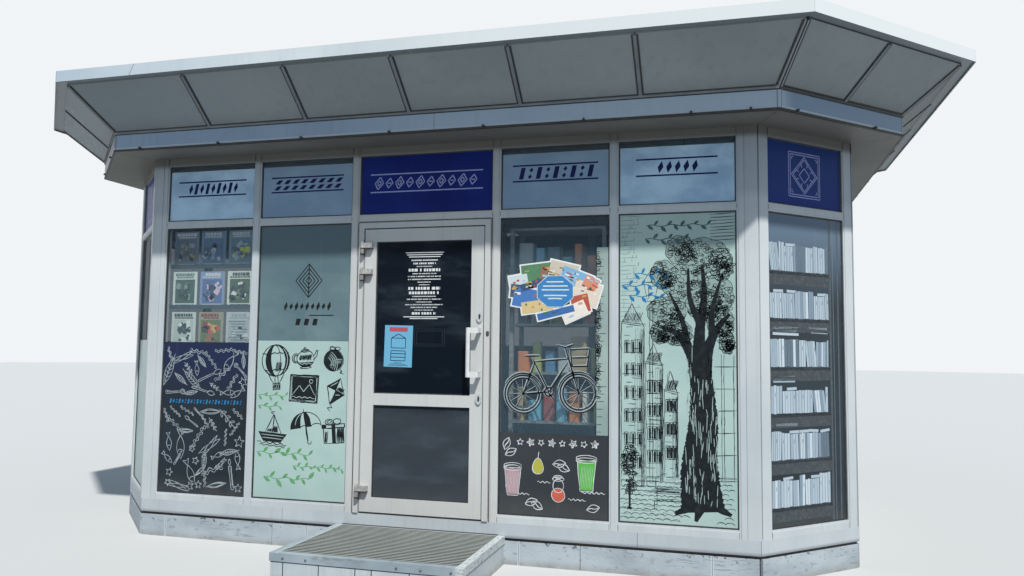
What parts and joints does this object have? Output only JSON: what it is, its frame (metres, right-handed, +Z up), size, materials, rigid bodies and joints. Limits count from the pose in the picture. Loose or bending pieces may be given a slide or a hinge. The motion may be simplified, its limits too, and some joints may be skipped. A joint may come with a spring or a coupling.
{
  "type": "street kiosk",
  "caption": "Walk-in glazed street kiosk on an elongated eight-sided plan, with a hinged glass door, a grated entrance step and a roof edged by an outward flaring panelled skirt",
  "frame": {"origin": "middle of the plan, on the ground", "axes": "+X along the front from left to right, +Y from the door side to the back, +Z up"},
  "size_m": [7.295, 5.551, 3.404],
  "materials": {
    "plinth_paint": "worn pale blue-grey paint over cracked boards",
    "dark_steel": "dark primed steel",
    "floor_board": "sealed floor board",
    "sill_sheet": "satin painted sheet with dust",
    "frame_aluminium": "satin silver-grey coated aluminium profile",
    "window_glass": "tinted sealed glazing",
    "sign_panel": "glossy navy panel",
    "soffit_sheet": "matt painted sheet",
    "ceiling_panel": "matt white panel",
    "eaves_paint": "satin blue-grey paint",
    "edge_rubber": "black rubber",
    "flare_panel": "matt grey sheet",
    "rib_aluminium": "weathered aluminium",
    "coping_sheet": "pale painted folded sheet",
    "roof_membrane": "grey roofing membrane",
    "roof_timber": "sawn timber",
    "step_paint": "worn pale blue paint",
    "grating_steel": "dull galvanised bars",
    "rack_steel": "grey coated sheet",
    "magazine_paper": "glossy printed paper",
    "shelf_board": "laminated board",
    "door_glass": "dark tinted glazing",
    "handle_steel": "satin steel",
    "hinge_steel": "coated steel"
  },
  "bodies": {
    "kiosk": {"plinth": "plinth_paint", "base_frame": "dark_steel", "floor": "floor_board", "sill_band": "sill_sheet", "corner_posts": "frame_aluminium", "front_mullions": "frame_aluminium", "back_mullions": "frame_aluminium", "end_mullions": "frame_aluminium", "corner_jambs": "frame_aluminium", "front_rails": "frame_aluminium", "back_rails": "frame_aluminium", "end_rails": "frame_aluminium", "corner_rails": "frame_aluminium", "front_lower_glass": "window_glass", "front_upper_glass": "window_glass", "back_glass": "window_glass", "end_glass": "window_glass", "corner_lower_glass": "window_glass", "corner_sign_panels": "sign_panel", "door_sign_panel": "sign_panel", "door_frame": "frame_aluminium", "soffit": "soffit_sheet", "ceiling": "ceiling_panel", "eaves_band": "eaves_paint", "edge_strip": "edge_rubber", "flare_panels": "flare_panel", "flare_ribs_front": "rib_aluminium", "flare_ribs_back": "rib_aluminium", "flare_ribs_ends": "rib_aluminium", "flare_ribs_corners": "rib_aluminium", "coping": "coping_sheet", "roof_deck": "roof_membrane", "roof_curb": "roof_timber", "step_frame": "step_paint", "step_boards": "step_paint", "step_grating": "grating_steel", "magazine_rack": "rack_steel", "magazines": "magazine_paper", "display_shelf": "shelf_board", "hinge_knuckles": "hinge_steel"},
    "door": {"door_leaf": "frame_aluminium", "door_panes": "door_glass", "door_handle": "handle_steel", "door_locks": "handle_steel", "hinge_brackets": "hinge_steel"}
  },
  "joints": [
    {"name": "door_hinge", "type": "hinge", "parent": "kiosk", "child": "door", "pos_m": [-0.4615, -2.01054, 1.2], "axis": [0, 0, -1], "range_deg": [0, 100]}
  ]
}
